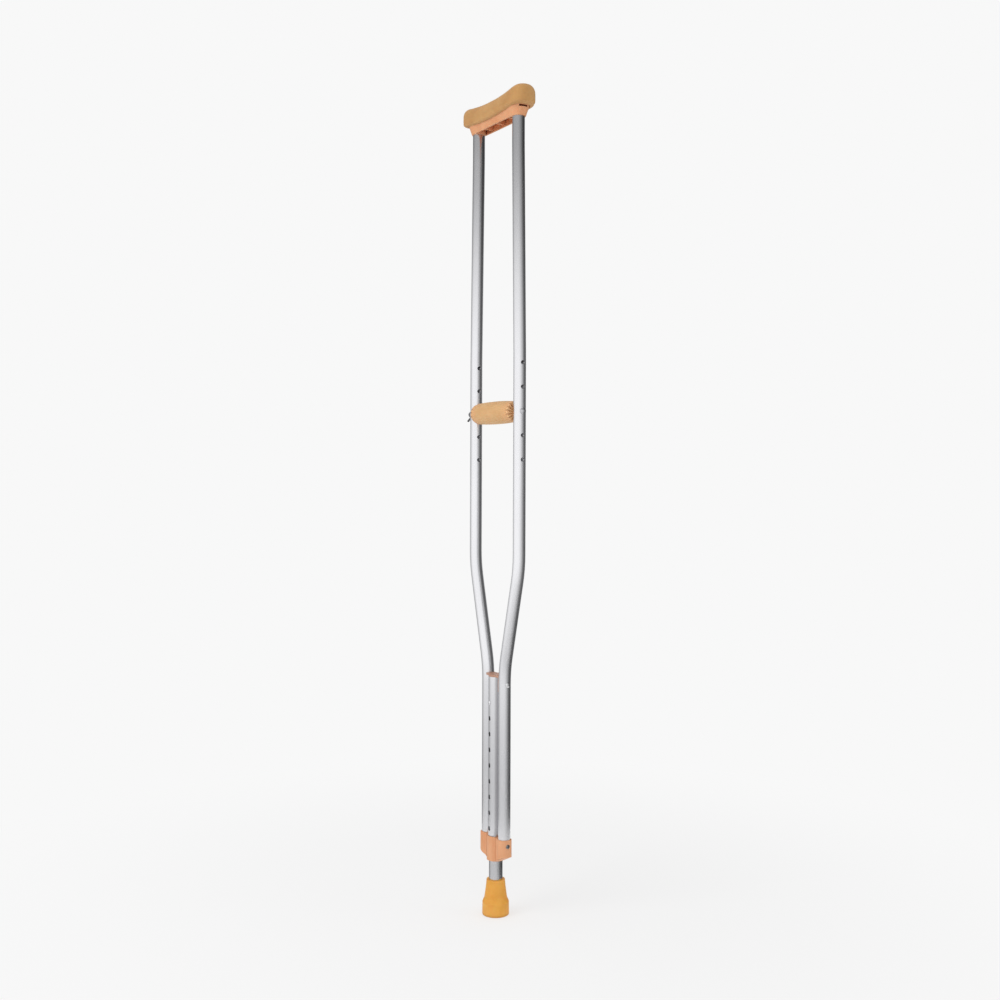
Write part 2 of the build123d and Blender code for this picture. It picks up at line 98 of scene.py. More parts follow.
class Wire:
    """One output of a node in a finish. Arithmetic on it adds the Math nodes that work it out."""

    def __init__(self, finish, socket):
        self.finish, self.socket = finish, socket

    def math(self, operation, *values):
        """The wire of a Math node on the values given, of which this wire is one or more."""
        return self.finish.node("ShaderNodeMath", {"operation": operation}, *values)

    def __add__(self, other):
        return self.math("ADD", self, other)

    def __sub__(self, other):
        return self.math("SUBTRACT", self, other)

    def __rsub__(self, other):
        return self.math("SUBTRACT", other, self)

    def __mul__(self, other):
        return self.math("MULTIPLY", self, other)

    def __truediv__(self, other):
        return self.math("DIVIDE", self, other)

    def __pow__(self, other):
        return self.math("POWER", self, other)

    __radd__, __rmul__ = __add__, __mul__

    def abs(self):
        return self.math("ABSOLUTE", self)

    def sine(self):
        return self.math("SINE", self)

    def turned_from(self, other):
        """The angle of the point (other, self) round the origin, from -pi to pi."""
        return self.math("ARCTAN2", self, other)

    def between(self, low, high):
        """0 below low, 1 above high and a smooth step from one to the other."""
        return self.finish.node(
            "ShaderNodeMapRange", {"interpolation_type": "SMOOTHSTEP"}, self, low, high, 0.0, 1.0
        )


class Finish:
    """A material whose colour, roughness and bump are worked out over the surface."""

    def __init__(self, name, **fixed):
        self.material = bpy.data.materials.new(name)
        self.material.use_nodes = True
        self.tree = self.material.node_tree
        self.shader = self.tree.nodes["Principled BSDF"]
        for socket, value in fixed.items():
            self.shader.inputs[socket.replace("_", " ")].default_value = value
        self.place = self.node("ShaderNodeTexCoord", {}, out="Object")
        self.x, self.y, self.z = (
            self.node("ShaderNodeSeparateXYZ", {}, self.place, out=axis) for axis in "XYZ"
        )

    def node(self, kind, settings, *values, out=0, **named):
        """A node, its settings made first, then its sockets' values or links, by order or name."""
        made = self.tree.nodes.new(kind)
        for setting, value in settings.items():
            setattr(made, setting, value)
        for socket, value in [*enumerate(values), *named.items()]:
            if isinstance(value, Wire):
                self.tree.links.new(value.socket, made.inputs[socket])
            elif value is not None:
                made.inputs[socket].default_value = value
        return Wire(self, made.outputs[out])

    def noise(self, scale, stretch=(1, 1, 1), detail=3.0, rough=0.55):
        """Cloudy value round 0.5, with scale features in a metre, drawn out by stretch."""
        spot = self.node("ShaderNodeVectorMath", {"operation": "MULTIPLY"}, self.place, stretch)
        return self.node(
            "ShaderNodeTexNoise", {}, Vector=spot, Scale=scale, Detail=detail, Roughness=rough
        )

    def mix(self, share, low, high):
        """Colour from low to high by share; any of the three may be a wire."""
        made = self.tree.nodes.new("ShaderNodeMix")
        made.data_type = "RGBA"
        for index, value in ((0, share), (6, low), (7, high)):
            if isinstance(value, Wire):
                self.tree.links.new(value.socket, made.inputs[index])
            else:
                made.inputs[index].default_value = value
        return Wire(self, made.outputs[2])

    def bump(self, height, depth, under=None):
        """Surface relief of a height from 0 to 1 that is depth metres deep."""
        return self.node(
            "ShaderNodeBump", {}, Strength=1.0, Distance=depth, Height=height, Normal=under
        )

    def soft_edges(self, radius):
        """Normal that rounds the solid's sharp edges by a radius in metres."""
        return self.node("ShaderNodeBevel", {"samples": 4}, radius)

    def hemmed(self, reach):
        """0 in the open, and more the more surfaces stand round a spot within reach metres."""
        return 1 - self.node("ShaderNodeAmbientOcclusion", {"samples": 32}, None, reach, out="AO")

    def give(self, **wires):
        """Links wires to the shader's sockets."""
        for socket, wire in wires.items():
            self.tree.links.new(wire.socket, self.shader.inputs[socket.replace("_", " ")])

    def dress(self, *names):
        """Puts the finish on CAD nodes."""
        for name in names:
            slots = nodes[name].material_slots
            for slot in slots:
                slot.material = self.material
            if not slots:
                nodes[name].data.materials.append(self.material)


def drawn_aluminium(name, skin=None):
    """Satin aluminium tube. One on the z axis, with its outer radius as skin, gets painted shade
    next to its neighbours, and all under the skin, such as its holes' walls, is painted dark as
    shade.
    """
    tube = Finish(name, Metallic=1.0)
    draw_lines = tube.noise(1500, stretch=(1, 1, 0.01), detail=2.0)
    handling = tube.noise(14, stretch=(1, 1, 0.35), detail=5.0).between(0.45, 0.72)
    rubs = tube.noise(260, stretch=(1, 1, 0.12), detail=2.0).between(0.63, 0.72) * handling
    colour = tube.mix(
        0.35 * draw_lines + 0.35 * handling, (0.80, 0.80, 0.825, 1), (0.90, 0.90, 0.92, 1)
    )
    if skin:
        # Painted shade next to the neighbouring tubes, where they stand close
        shade_from_neighbours = tube.hemmed(0.016).between(0.10, 0.34)
        colour = tube.mix(0.5 * shade_from_neighbours, colour, (0.16, 0.15, 0.16, 1))
        # Painted shade: all under the tube's skin, such as its holes' walls and bore, is painted
        # near black
        radius = (tube.x * tube.x + tube.y * tube.y) ** 0.5
        below = 1 - radius.between(skin - 0.0004, skin - 0.0001)
        colour = tube.mix(below, colour, (0.03, 0.028, 0.028, 1))
    tube.give(
        Base_Color=colour,
        Roughness=0.20 + 0.07 * draw_lines + 0.06 * handling + 0.12 * rubs,
        Normal=tube.bump(draw_lines + 0.5 * rubs, 0.000012, tube.soft_edges(0.0003)),
    )
    return tube


drawn_aluminium("satin_aluminium").dress("left_upright", "right_upright", "leg_tube")
# The sleeve gets painted shade next to the uprights and in its holes
drawn_aluminium("sleeve_aluminium", skin=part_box("leg_sleeve")[1].x).dress("leg_sleeve")


# The moulded pieces: the collar at the foot of the uprights, the spacer on top of the sleeve,
# the saddle and the hand grip's spool. They are injection moulded in skin-coloured plastic,
# slightly cloudy. All but the spool have a fine spark-eroded texture and a parting line.
cloudy_depth = {
    "Subsurface_Weight": 0.12, "Subsurface_Radius": (0.006, 0.003, 0.002), "Subsurface_Scale": 0.4
}


def moulded(name, dark, light, streak, grooves_at=None):
    """Cloudy plastic in three colours, with the mould's parting line along the crutch's middle.
    Grooves that run up and down at a distance each side of the middle get painted shade.
    """
    plastic = Finish(name, **cloudy_depth)
    cloud = plastic.noise(22, detail=4.0)
    flow = plastic.noise(60, stretch=(1, 1, 0.3), detail=2.0)
    grain = plastic.noise(2600, detail=1.0)
    line = 1 - plastic.y.abs().between(0.00005, 0.0003)
    base = plastic.mix(cloud.between(0.3, 0.7), paint(*dark), paint(*light))
    if grooves_at:
        # Painted shade along the grooves, in a darker peach
        groove_shade = 1 - (plastic.x.abs() - grooves_at).abs().between(0.0005, 0.0026)
        base = plastic.mix(0.7 * groove_shade, base, paint(196, 122, 74))
    plastic.give(
        Base_Color=plastic.mix(0.35 * flow.between(0.35, 0.75), base, paint(*streak)),
        Roughness=0.38 + 0.10 * grain + 0.08 * cloud,
        Normal=plastic.bump(0.25 * grain + 0.9 * line, 0.00008, plastic.soft_edges(0.0006)),
    )
    return plastic


peach = (220, 155, 109), (228, 167, 123), (204, 136, 90)
moulded("collar_plastic", *peach, grooves_at=0.0145).dress("leg_collar")
moulded("saddle_plastic", *peach).dress("underarm_saddle")
moulded("spacer_plastic", (176, 132, 110), (190, 146, 124), (150, 108, 88)).dress("top_spacer")

# The grip's spool is the same plastic in the grip's colour, its end flanges fluted all round, with
# painted shade in the flutes' grooves
spool = Finish("spool_plastic", **cloudy_depth)
spool_low, spool_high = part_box("grip_core")
flute_count = 16
above_bolt = spool.z - (spool_low.z + spool_high.z) / 2
around_bolt = spool.y.turned_from(above_bolt)
from_bolt = (spool.y * spool.y + above_bolt**2) ** 0.5
# The flutes' relief, whose grooves also get painted shade
flute_relief_and_shade = (around_bolt * flute_count).sine().between(0.1, 0.9) * from_bolt.between(0.008, 0.012)
cloud = spool.noise(40, detail=3.0)
tan = spool.mix(cloud, paint(222, 168, 112), paint(236, 186, 134))
spool.give(
    Base_Color=spool.mix(0.6 * flute_relief_and_shade, tan, paint(164, 104, 58)),
    Roughness=0.42 + 0.12 * cloud,
    Normal=spool.bump(0.8 * (1 - flute_relief_and_shade), 0.0008, spool.soft_edges(0.0005)),
)
spool.dress("grip_core")


# The ferrule is gum rubber, moulded in one piece and pushed over the leg. Its neck is smooth and
# its foot has fine rings round it from the mould; the sole is darker where it wears. Inside it,
# the leg stands on a plain steel washer.
rubber = Finish(
    "gum_rubber",
    Subsurface_Weight=0.25, Subsurface_Radius=(0.008, 0.003, 0.001), Subsurface_Scale=0.5,
)
cloud = rubber.noise(45, detail=4.0)
bloom = rubber.noise(8, detail=3.0).between(0.4, 0.75)
ring_spacing = 0.0016
rings = (rubber.z * (2 * pi / ring_spacing)).sine() * 0.5 + 0.5
on_foot = 1 - rubber.z.between(0.0195, 0.0225)
low_wear = 1 - rubber.z.between(0.0005, 0.006)
amber = rubber.mix(cloud.between(0.3, 0.7), paint(224, 155, 48), paint(232, 170, 68))
amber = rubber.mix(0.5 * bloom, amber, paint(222, 156, 72))
relief = 0.35 * rings * on_foot + 0.2 * rubber.noise(900, detail=2.0)
rubber.give(
    Base_Color=rubber.mix(0.45 * low_wear, amber, paint(150, 98, 40)),
    Roughness=0.42 + 0.14 * cloud + 0.15 * low_wear,
    Normal=rubber.bump(relief, 0.0003, rubber.soft_edges(0.0008)),
)
rubber.dress("ferrule")


def steel(name, shade, roughness, tint=1.0):
    """Plated steel with fine turning marks and slightly uneven plating."""
    plated = Finish(name, Metallic=1.0)
    cloud = plated.noise(180, detail=3.0)
    marks = plated.noise(2200, detail=2.0)
    dark = (shade * 0.85, shade * 0.85, shade * 0.85 * tint, 1)
    light = (shade, shade, shade * tint, 1)
    plated.give(
        Base_Color=plated.mix(cloud.between(0.3, 0.7), dark, light),
        Roughness=roughness + 0.10 * cloud + 0.05 * marks,
        Normal=plated.bump(marks, 0.00002, plated.soft_edges(0.00025)),
    )
    return plated


zinc = steel("zinc_plated_steel", 0.62, 0.25, tint=1.03)
zinc.dress("ferrule_washer", "grip_washer")


# The snap clip is a spring steel strip bent double inside the leg. Its two pressed-steel buttons
# stand out through the leg and the sleeve and lock the leg's length. The strip is in two halves
# that meet at its bend.
def deselect():
    """Nothing selected and nothing active, so that an operator acts only on what comes next."""
    bpy.ops.object.select_all(action="DESELECT")
    bpy.context.view_layer.objects.active = None


def only(piece):
    """Makes a piece the only selected and active object."""
    deselect()
    piece.select_set(True)
    bpy.context.view_layer.objects.active = piece


def own_copy(node, name):
    """A copy of a CAD node's mesh as a piece of its own, its facets joined up."""
    only(nodes[node])
    bpy.ops.object.duplicate()
    piece = bpy.context.object
    bpy.ops.object.parent_clear(type="CLEAR_KEEP_TRANSFORM")
    piece.name = piece.data.name = name
    bpy.ops.object.mode_set(mode="EDIT")
    bpy.ops.mesh.select_all(action="SELECT")
    bpy.ops.mesh.remove_doubles(threshold=0.00001)
    bpy.ops.object.mode_set(mode="OBJECT")
    piece.data.materials.clear()
    return piece


spring_steel = steel("spring_steel", 0.40, 0.30)
spring_steel.dress("snap_spring")
strip_low, strip_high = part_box("snap_spring")
strip_rows = 12
strips = [(-1, "front", own_copy("snap_spring", "snap_strip_front"))]
strips.append((1, "back", own_copy("snap_spring", "snap_strip_back")))
for side, name, strip in strips:
    only(strip)
    bpy.ops.object.mode_set(mode="EDIT")
    for row in range(1, strip_rows):
        height = strip_low.z + (strip_high.z - strip_low.z) * row / strip_rows
        bpy.ops.mesh.select_all(action="SELECT")
        bpy.ops.mesh.bisect(plane_co=(0, 0, height), plane_no=(0, 0, 1))
    bpy.ops.mesh.select_all(action="SELECT")
    bpy.ops.mesh.bisect(
        plane_co=(0, 0, 0), plane_no=(0, side, 0), clear_inner=True, use_fill=True
    )
    bpy.ops.mesh.select_all(action="SELECT")
    bpy.ops.mesh.normals_make_consistent(inside=False)
    bpy.ops.object.mode_set(mode="OBJECT")
    bpy.ops.object.shade_smooth_by_angle(angle=radians(35))
    strip.data.materials.append(spring_steel.material)
    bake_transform(strip)
    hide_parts("snap_spring")
steel("bright_button_steel", 0.85, 0.12, tint=1.02).dress("snap_button_front", "snap_button_back")

# The top rivet is a solid aluminium one, set with a domed head at each end.
steel("bright_rivet", 0.80, 0.16, tint=1.02).dress("top_rivet")

# Black plastic plugs close the uprights' upper ends and hold the saddle's screws.
plug = Finish("black_plastic", Roughness=0.5)
plug_cloud = plug.noise(120)
plug.give(
    Base_Color=plug.mix(plug_cloud, (0.018, 0.017, 0.016, 1), (0.035, 0.033, 0.031, 1)),
    Roughness=0.45 + 0.15 * plug_cloud,
    Normal=plug.bump(plug.noise(2000, detail=1.0), 0.00004),
)
plug.dress("tube_plug_left", "tube_plug_right")


# Four pan-head screws with a cross recess hold the tubes in the collar and the saddle. One is
# turned from its outline and has the recess cut in, and all four are copies of it, moved and
# turned to their places.
def settle(piece):
    """Moves a piece's place, turn and scale into its mesh, leaving the object at the origin."""
    only(piece)
    bpy.ops.object.transform_apply(location=True, rotation=True, scale=True)


def apply(piece, kind, **settings):
    """Adds a modifier to a piece and applies it."""
    only(piece)
    modifier = piece.modifiers.new(kind.lower(), kind)
    for setting, value in settings.items():
        setattr(modifier, setting, value)
    bpy.ops.object.modifier_apply(modifier=modifier.name)


def cut(piece, cutter):
    """Cuts one piece's shape out of another, and removes the cutter."""
    apply(piece, "BOOLEAN", operation="DIFFERENCE", solver="EXACT", object=cutter)
    bpy.data.objects.remove(cutter)


def lathe(name, outline, origin, direction, steps=48):
    """Turned piece: an outline of (along, radius) points, from axis to axis or closed on itself,
    spun about a line through origin along direction.
    """
    deselect()
    bpy.ops.mesh.primitive_plane_add(size=0.01)
    piece = bpy.context.object
    piece.name = piece.data.name = name
    bpy.ops.object.mode_set(mode="EDIT")
    bpy.ops.mesh.select_all(action="SELECT")
    bpy.ops.mesh.merge(type="CENTER")
    along, out = outline[0]
    bpy.ops.transform.translate(value=(out, 0, along))
    for (from_along, from_out), (along, out) in zip(outline, outline[1:]):
        bpy.ops.mesh.extrude_vertices_move(
            TRANSFORM_OT_translate={"value": (out - from_out, 0, along - from_along)}
        )
    bpy.ops.mesh.select_all(action="SELECT")
    bpy.ops.mesh.spin(steps=steps, angle=2 * pi, center=(0, 0, 0), axis=(0, 0, 1))
    bpy.ops.mesh.select_all(action="SELECT")
    bpy.ops.mesh.remove_doubles(threshold=0.000005)
    bpy.ops.mesh.normals_make_consistent(inside=False)
    bpy.ops.object.mode_set(mode="OBJECT")
    piece.rotation_euler = Vector((0, 0, 1)).rotation_difference(Vector(direction)).to_euler()
    piece.location = origin
    settle(piece)
    bpy.ops.object.shade_smooth_by_angle(angle=radians(35))
    return piece


def dome(start, radius, height, steps=7):
    """Outline points of a domed head, from its rim at a height start up to the axis."""
    ball = (height * height + radius * radius) / (2 * height)
    half_angle = asin(min(1, radius / ball))
    turns = [half_angle * (steps - i) / steps for i in range(steps + 1)]
    return [(start + height - ball * (1 - cos(turn)), ball * sin(turn)) for turn in turns]


dull_steel = steel("dull_screw_steel", 0.30, 0.34)
screw_head, screw_height, screw_rim, shank = 0.0033, 0.0022, 0.0005, 0.0019
recess_length, recess_width, recess_depth = 0.0038, 0.00075, 0.0013
point_and_shank = [(-0.0135, 0), (-0.0115, 0.0016), (-0.0108, shank), (0, shank)]
pattern_screw = lathe(
    "pattern_screw",
    point_and_shank
    + [(0, screw_head - 0.0002), (0.0002, screw_head)]
    + dome(screw_rim, screw_head, screw_height - screw_rim),
    (0, 0, 0), (0, 0, 1), steps=32,
)
for turn in (0, pi / 2):
    deselect()
    bpy.ops.mesh.primitive_cube_add(size=1, location=(0, 0, screw_height), rotation=(0, 0, turn))
    slot_cutter = bpy.context.object
    slot_cutter.scale = (recess_length, recess_width, 2 * recess_depth)
    settle(slot_cutter)
    cut(pattern_screw, slot_cutter)
only(pattern_screw)
bpy.ops.object.shade_smooth_by_angle(angle=radians(35))

for side, name in ((-1, "left"), (1, "right")):
    for seat, axis in (("collar", (side, 0, 0)), ("saddle", (0, 0, 1))):
        low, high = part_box(f"{seat}_screw_{name}")
        middle = (low + high) / 2
        if seat == "collar":
            outer_x = high.x if side > 0 else low.x
            foot = Vector((outer_x - side * screw_height, middle.y, middle.z))
        else:
            foot = Vector((middle.x, middle.y, high.z - screw_height))
        only(pattern_screw)
        bpy.ops.object.duplicate()
        screw = bpy.context.object
        screw.name = screw.data.name = f"{seat}_cross_screw_{name}"
        screw.rotation_euler = Vector((0, 0, 1)).rotation_difference(Vector(axis)).to_euler()
        screw.location = foot
        settle(screw)
        screw.data.materials.append((dull_steel if seat == "collar" else zinc).material)
        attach(screw, "frame")
        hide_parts(f"{seat}_screw_{name}")
bpy.data.objects.remove(pattern_screw)


# The underarm cushion is a soft foam rubber moulding pulled over the saddle's plate. Its top is
# hollowed along its length and crowned across it, its sides swell a little, and its lower edge
# turns in under the plate. It is shaped flat and then lifted row by row along its hollow.
low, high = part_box("underarm_pad")
plate_low, plate_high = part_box("underarm_saddle")
cushion_length, cushion_width = high.x - low.x, high.y - low.y
cushion_corner, crown_round, foot_round, row_step = 0.0205, 0.0142, 0.0024, 0.006
# The saddle's plate and the cushion's foot have the first radius, and the cushion's top the second
hollow_radius, cushion_top_radius = 0.6, 0.5
# The block starts out this much slimmer than the cushion, and this much higher
cushion_spare = 0.0004
cushion_foot, cushion_head = low.z, low.z + 0.030 + cushion_spare


def hollow(x, radius):
    """Rise of a hollowed face at a distance x from its middle."""
    return radius - sqrt(radius * radius - x * x)


def lift_rows(piece, split, low_radius, high_radius):
    """Lifts a piece's rows along its hollow, with a radius for the points above the height split
    and one for those below.
    """
    only(piece)
    rows = {}
    for point in piece.data.vertices:
        rows.setdefault((round(point.co.x, 5), point.co.z > split), []).append(point.index)
    for (x, upper), members in rows.items():
        bpy.ops.object.mode_set(mode="EDIT")
        bpy.ops.mesh.select_all(action="DESELECT")
        bpy.ops.object.mode_set(mode="OBJECT")
        for index in members:
            piece.data.vertices[index].select = True
        bpy.ops.object.mode_set(mode="EDIT")
        bpy.ops.transform.translate(value=(0, 0, hollow(x, high_radius if upper else low_radius)))
        bpy.ops.object.mode_set(mode="OBJECT")


def cut_rows(piece, length, step):
    """Cuts a piece across into rows about a step apart."""
    only(piece)
    bpy.ops.object.mode_set(mode="EDIT")
    count = int(length / step)
    for i in range(1, count):
        bpy.ops.mesh.select_all(action="SELECT")
        bpy.ops.mesh.bisect(plane_co=(length * (i / count - 0.5), 0, 0), plane_no=(1, 0, 0))
    bpy.ops.mesh.select_all(action="SELECT")
    bpy.ops.mesh.remove_doubles(threshold=0.00001)
    bpy.ops.object.mode_set(mode="OBJECT")


def rounded_block(name, length, width, corner, bottom, top, step=None):
    """Block with round upright corners, cut across into rows if a step is given."""
    deselect()
    bpy.ops.mesh.primitive_plane_add(size=1, location=(0, 0, bottom))
    block = bpy.context.object
    block.name = block.data.name = name
    block.scale = (length, width, 1)
    settle(block)
    bpy.ops.object.mode_set(mode="EDIT")
    bpy.ops.mesh.select_all(action="SELECT")
    bpy.ops.mesh.bevel(offset=corner, segments=8, affect="VERTICES", clamp_overlap=False)
    bpy.ops.mesh.select_all(action="SELECT")
    bpy.ops.mesh.extrude_region_move(TRANSFORM_OT_translate={"value": (0, 0, top - bottom)})
    bpy.ops.mesh.select_all(action="SELECT")
    bpy.ops.mesh.normals_make_consistent(inside=False)
    bpy.ops.object.mode_set(mode="OBJECT")
    if step:
        cut_rows(block, length, step)
    return block


def select_level(piece, height):
    """In edit mode on edges, selects those that lie at a height."""
    bpy.ops.object.mode_set(mode="OBJECT")
    points = piece.data.vertices
    for edge in piece.data.edges:
        edge.select = all(abs(points[i].co.z - height) < 0.00001 for i in edge.vertices)
    for face in piece.data.polygons:
        face.select = False
    bpy.ops.object.mode_set(mode="EDIT")


cushion = rounded_block(
    "arm_cushion", cushion_length - cushion_spare, cushion_width - cushion_spare, cushion_corner,
    cushion_foot, cushion_head,
)
bpy.context.tool_settings.mesh_select_mode = (False, True, False)
bpy.ops.object.mode_set(mode="EDIT")
bpy.ops.mesh.select_all(action="DESELECT")
select_level(cushion, cushion_head)
bpy.ops.mesh.bevel(offset=crown_round, segments=8, profile=0.5, clamp_overlap=False)
bpy.ops.mesh.select_all(action="DESELECT")
select_level(cushion, cushion_foot)
bpy.ops.mesh.bevel(offset=foot_round, segments=4, clamp_overlap=False)
bpy.ops.mesh.select_all(action="SELECT")
bpy.ops.mesh.remove_doubles(threshold=0.00001)
bpy.ops.mesh.normals_make_consistent(inside=False)
bpy.ops.object.mode_set(mode="OBJECT")
bpy.context.tool_settings.mesh_select_mode = (True, False, False)
cut_rows(cushion, cushion_length, row_step)
lift_rows(cushion, (cushion_foot + cushion_head) / 2, hollow_radius, cushion_top_radius)
apply(cushion, "REMESH", mode="VOXEL", voxel_size=0.003)
apply(cushion, "SMOOTH", factor=0.5, iterations=4)


def swell(piece, pressure, most, frames=20):
    """Blows a soft piece up a little as cloth, each point moving no further than most metres."""
    only(piece)
    start = [point.co.copy() for point in piece.data.vertices]
    cloth = piece.modifiers.new("cloth", "CLOTH")
    cloth.settings.use_pressure = True
    cloth.settings.uniform_pressure_force = pressure
    cloth.settings.effector_weights.gravity = 0
    cloth.settings.tension_stiffness = cloth.settings.compression_stiffness = 25
    cloth.settings.bending_stiffness = 2
    for step in range(1, frames + 1):
        bpy.context.scene.frame_set(step)
    bpy.ops.object.modifier_apply(modifier=cloth.name)
    bpy.context.scene.frame_set(1)
    for point, first in zip(piece.data.vertices, start):
        moved = point.co - first
        if moved.length > most:
            point.co = first + moved * (most / moved.length)


swell(cushion, 4.0, 0.0014)
apply(cushion, "SUBSURF", levels=1, render_levels=1)

# The pocket for the saddle's plate, and the throat that its skirt comes up through, each given as
# length, width, corner, and bottom and top above the cushion's foot
pocket_length = plate_high.x - plate_low.x + 0.0006
for name, length, width, corner, bottom, top in (
    ("pocket", pocket_length, 0.0376, 0.0153, 0.00295, 0.0061),
    ("throat", 0.1706, 0.0330, 0.0155, -0.004, 0.0045),
):
    cutter = rounded_block(
        name, length, width, corner, cushion_foot + bottom, cushion_foot + top, step=2 * row_step
    )
    lift_rows(cutter, high.z, hollow_radius, hollow_radius)
    cut(cushion, cutter)
only(cushion)
bpy.ops.object.shade_smooth_by_angle(angle=radians(50))

foam_depth = cloudy_depth | {"Subsurface_Weight": 0.10, "Sheen_Weight": 0.08}
skin = Finish("cushion_foam_rubber", **foam_depth)
cloud = skin.noise(30, detail=4.0)
pores = skin.noise(1700, detail=2.0)
creases = skin.noise(95, stretch=(0.5, 1, 1), detail=3.0)
seam_height = cushion_foot + 0.0125
arc_height = skin.z - skin.x * skin.x / (2 * hollow_radius)
seam = 1 - (arc_height - seam_height).abs().between(0.00012, 0.00045)
tan = skin.mix(cloud.between(0.3, 0.7), paint(188, 138, 79), paint(197, 150, 91))
skin.give(
    Base_Color=skin.mix(0.4 * creases.between(0.4, 0.8), tan, paint(174, 123, 66)),
    Roughness=0.52 + 0.12 * cloud + 0.10 * pores,
    Normal=skin.bump(0.30 * pores + 0.6 * seam + 0.35 * creases, 0.00022),
)
cushion.data.materials.clear()
cushion.data.materials.append(skin.material)
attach(cushion, "frame")
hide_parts("underarm_pad")


# The hand grip is a soft foam barrel slipped over the spool, thicker in the middle, with its ends
# rounded over. Its outline is turned about the bolt.
low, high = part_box("grip_sleeve")
grip_centre = (low + high) / 2
grip_reach, grip_belly = (high.x - low.x) / 2, (high.z - low.z) / 2
grip_bore, left_end, right_end = 0.01215, 0.0172, 0.0164
grip_rows, belly_power = 22, 2.2
barrel = []
for i in range(grip_rows + 1):
    along = grip_reach * (2 * i / grip_rows - 1)
    end = left_end if along < 0 else right_end
    fall = (grip_belly - end) * (abs(along) / grip_reach) ** belly_power
    barrel.append((along, grip_belly - fall))
# The barrel's first and last points move in from the ends, and two more round each end over
end_inset, end_lift = 0.0011, 0.0001
barrel[0] = (barrel[0][0] + end_inset, barrel[0][1] + end_lift)
barrel[-1] = (barrel[-1][0] - end_inset, barrel[-1][1] + end_lift)
rounding = (0, -0.0016), (0.0003, -0.0006)
left_round = [(-grip_reach + along, left_end + out) for along, out in rounding]
right_round = [(grip_reach - along, right_end + out) for along, out in reversed(rounding)]
bore = [(grip_reach, grip_bore), (-grip_reach, grip_bore)]
outline = bore[1:] + left_round + barrel + right_round + bore
grip = lathe("grip_barrel", outline, grip_centre, (1, 0, 0), steps=64)
apply(grip, "SUBSURF", levels=1, render_levels=1)
foam = Finish("grip_foam_rubber", **foam_depth)
cloud = foam.noise(34, detail=4.0)
pores = foam.noise(1500, detail=2.0)
worn = foam.noise(12, stretch=(0.6, 1, 1), detail=3.0).between(0.45, 0.75)
towards_end = foam.x.abs().between(0.035, 0.057)
warm = foam.mix(cloud.between(0.3, 0.7), paint(210, 162, 105), paint(218, 173, 118))
warm = foam.mix(0.4 * worn, warm, paint(198, 148, 90))
foam.give(
    Base_Color=foam.mix(0.5 * towards_end, warm, paint(222, 163, 112)),
    Roughness=0.50 + 0.12 * cloud + 0.10 * pores,
    Normal=foam.bump(0.30 * pores + 0.3 * foam.noise(70, detail=2.0), 0.00022),
)
grip.data.materials.append(foam.material)
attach(grip, "hand_grip")
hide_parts("grip_sleeve")


# The grip bolt is a long carriage bolt with a domed head on the right, and a pressed-steel wing
# nut pulls it up on the left. Its thread shows only past the nut's hub.
low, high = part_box("grip_bolt")
bolt_radius, head_radius, head_height = 0.0031, 0.0052, 0.0036
head_side, head_rim, head_edge, tip_chamfer = 0.0009, 0.0010, 0.0003, 0.0008
head_foot = high.x - head_height
tip = low.x - head_foot
shank_outline = [(tip, 0), (tip, bolt_radius - tip_chamfer), (tip + tip_chamfer, bolt_radius)]
head_outline = [(0, bolt_radius), (0, head_radius - head_edge), (head_edge, head_radius)]
head_outline += [(head_side, head_radius)]
head_outline += dome(head_rim, head_radius, head_height - head_rim)[1:]
bolt = lathe(
    "carriage_bolt",
    shank_outline + head_outline,
    (head_foot, (low.y + high.y) / 2, (low.z + high.z) / 2), (1, 0, 0),
)
bolt_steel = Finish("plated_bolt_steel", Metallic=1.0)
cloud = bolt_steel.noise(200, detail=3.0)
thread_pitch, thread_depth = 0.001, 0.0004
around = bolt_steel.y.turned_from(bolt_steel.z - grip_centre.z)
wave = (bolt_steel.x * (2 * pi / thread_pitch) + around).sine() * 0.5 + 0.5
threaded = 1 - bolt_steel.x.between(-0.0665, -0.0655)
bolt_steel.give(
    Base_Color=bolt_steel.mix(
        cloud.between(0.3, 0.7), (0.50, 0.50, 0.52, 1), (0.62, 0.62, 0.64, 1)
    ),
    Roughness=0.20 + 0.10 * cloud,
    Normal=bolt_steel.bump(wave * threaded, thread_depth),
)
bolt.data.materials.append(bolt_steel.material)
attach(bolt, "bolt")
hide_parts("grip_bolt")

# The wing nut is the CAD's, with its flat facets merged and its edges rounded over
wing_nut = own_copy("wing_nut", "pressed_wing_nut")
bpy.ops.object.mode_set(mode="EDIT")
bpy.ops.mesh.select_all(action="SELECT")
bpy.ops.mesh.dissolve_limited(angle_limit=radians(2))
bpy.ops.object.mode_set(mode="OBJECT")
apply(wing_nut, "BEVEL", width=0.0005, segments=3, limit_method="ANGLE", angle_limit=radians(30))
bpy.ops.object.shade_smooth_by_angle(angle=radians(40))
wing_nut.data.materials.append(steel("dark_plated_nut", 0.16, 0.34).material)
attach(wing_nut, "nut")
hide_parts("wing_nut")


